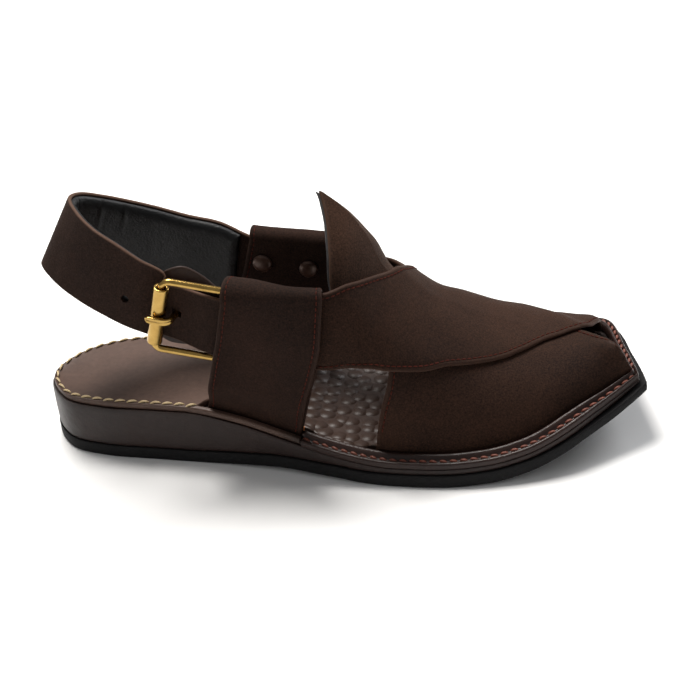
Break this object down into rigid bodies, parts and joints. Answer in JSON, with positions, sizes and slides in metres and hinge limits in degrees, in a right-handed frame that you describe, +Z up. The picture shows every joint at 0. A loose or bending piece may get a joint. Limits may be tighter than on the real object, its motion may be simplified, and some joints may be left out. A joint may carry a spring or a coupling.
{
  "type": "peshawari chappal",
  "caption": "Leather sandal with wide straps crossed over the forefoot, a pointed tongue, folded side loops, a padded buckled heel strap and a wedge sole with a lifted pointed toe.",
  "frame": {"origin": "middle of the flat spot under the heel, on the floor", "axes": "+X from the heel to the toe, +Y to the medial side, +Z up; the buckle is on the lateral side, -Y"},
  "size_m": [0.2936, 0.1114, 0.1338],
  "materials": {
    "black_rubber": "matt black rubber, lightly worn at the edge",
    "wedge_leather": "smooth purple-brown leather stretched round the wedge, semi-gloss",
    "smooth_brown_leather": "smooth purple-brown leather, semi-gloss, whip stitched round the heel",
    "welt_leather": "smooth brown welt with red-brown stitches in its groove",
    "dark_brown_nubuck": "matt dark brown nubuck with a fine nap and folded, stitched edges",
    "tongue_nubuck": "matt dark brown nubuck, thinly lined",
    "loop_nubuck": "matt dark brown nubuck",
    "strap_leather": "dark brown nubuck with a pale cut edge",
    "black_padded_leather": "smooth black lining leather over soft padding",
    "flap_leather": "smooth brown leather",
    "polished_brass": "polished pale brass",
    "painted_rivet": "brown lacquered rivet head"
  },
  "bodies": {
    "root": {"outsole": "black_rubber", "midsole": "wedge_leather", "insole": "smooth_brown_leather", "welt": "welt_leather", "upper": "dark_brown_nubuck", "tongue": "tongue_nubuck", "side_loop_lateral": "loop_nubuck", "side_loop_medial": "loop_nubuck", "heel_strap": "strap_leather", "heel_strap_lining": "black_padded_leather", "buckle_frame": "polished_brass", "buckle_roller": "polished_brass", "buckle_prong": "polished_brass", "buckle_flap": "flap_leather", "rivet_rear": "painted_rivet", "rivet_front": "painted_rivet"}
  },
  "joints": []
}
